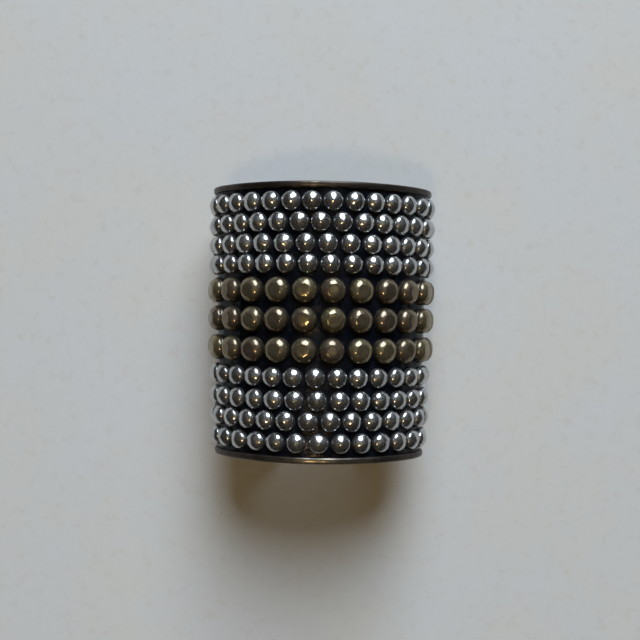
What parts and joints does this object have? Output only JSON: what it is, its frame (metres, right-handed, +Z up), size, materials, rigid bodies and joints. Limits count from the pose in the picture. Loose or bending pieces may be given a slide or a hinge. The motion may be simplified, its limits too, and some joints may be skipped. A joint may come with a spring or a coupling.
{
  "type": "studded open cuff bangle",
  "caption": "Wide tapered oval cuff bangle with rolled rims, a black backing and rows of domed and flat-topped studs, open at the back.",
  "frame": {"origin": "on the surface it lies on, under the middle of its bounding box", "axes": "+Y along the wrist toward the wide end, +X to the right seen from above, +Z up; the cuff lies on its back with its opening underneath"},
  "size_m": [0.0669, 0.0782, 0.0477],
  "materials": {
    "dark_metal": "dark antique bronze plating, satin, rubbed bright along the rims",
    "black_resin": "glossy near-black with a faint blue cast",
    "silver_stud": "polished dark hematite silver",
    "bronze_stud": "polished antique bronze, olive brown"
  },
  "bodies": {
    "root": {"metal_shell": "dark_metal", "black_backing": "black_resin", "silver_studs_wide": "silver_stud", "bronze_studs": "bronze_stud", "silver_studs_narrow": "silver_stud"}
  },
  "joints": []
}
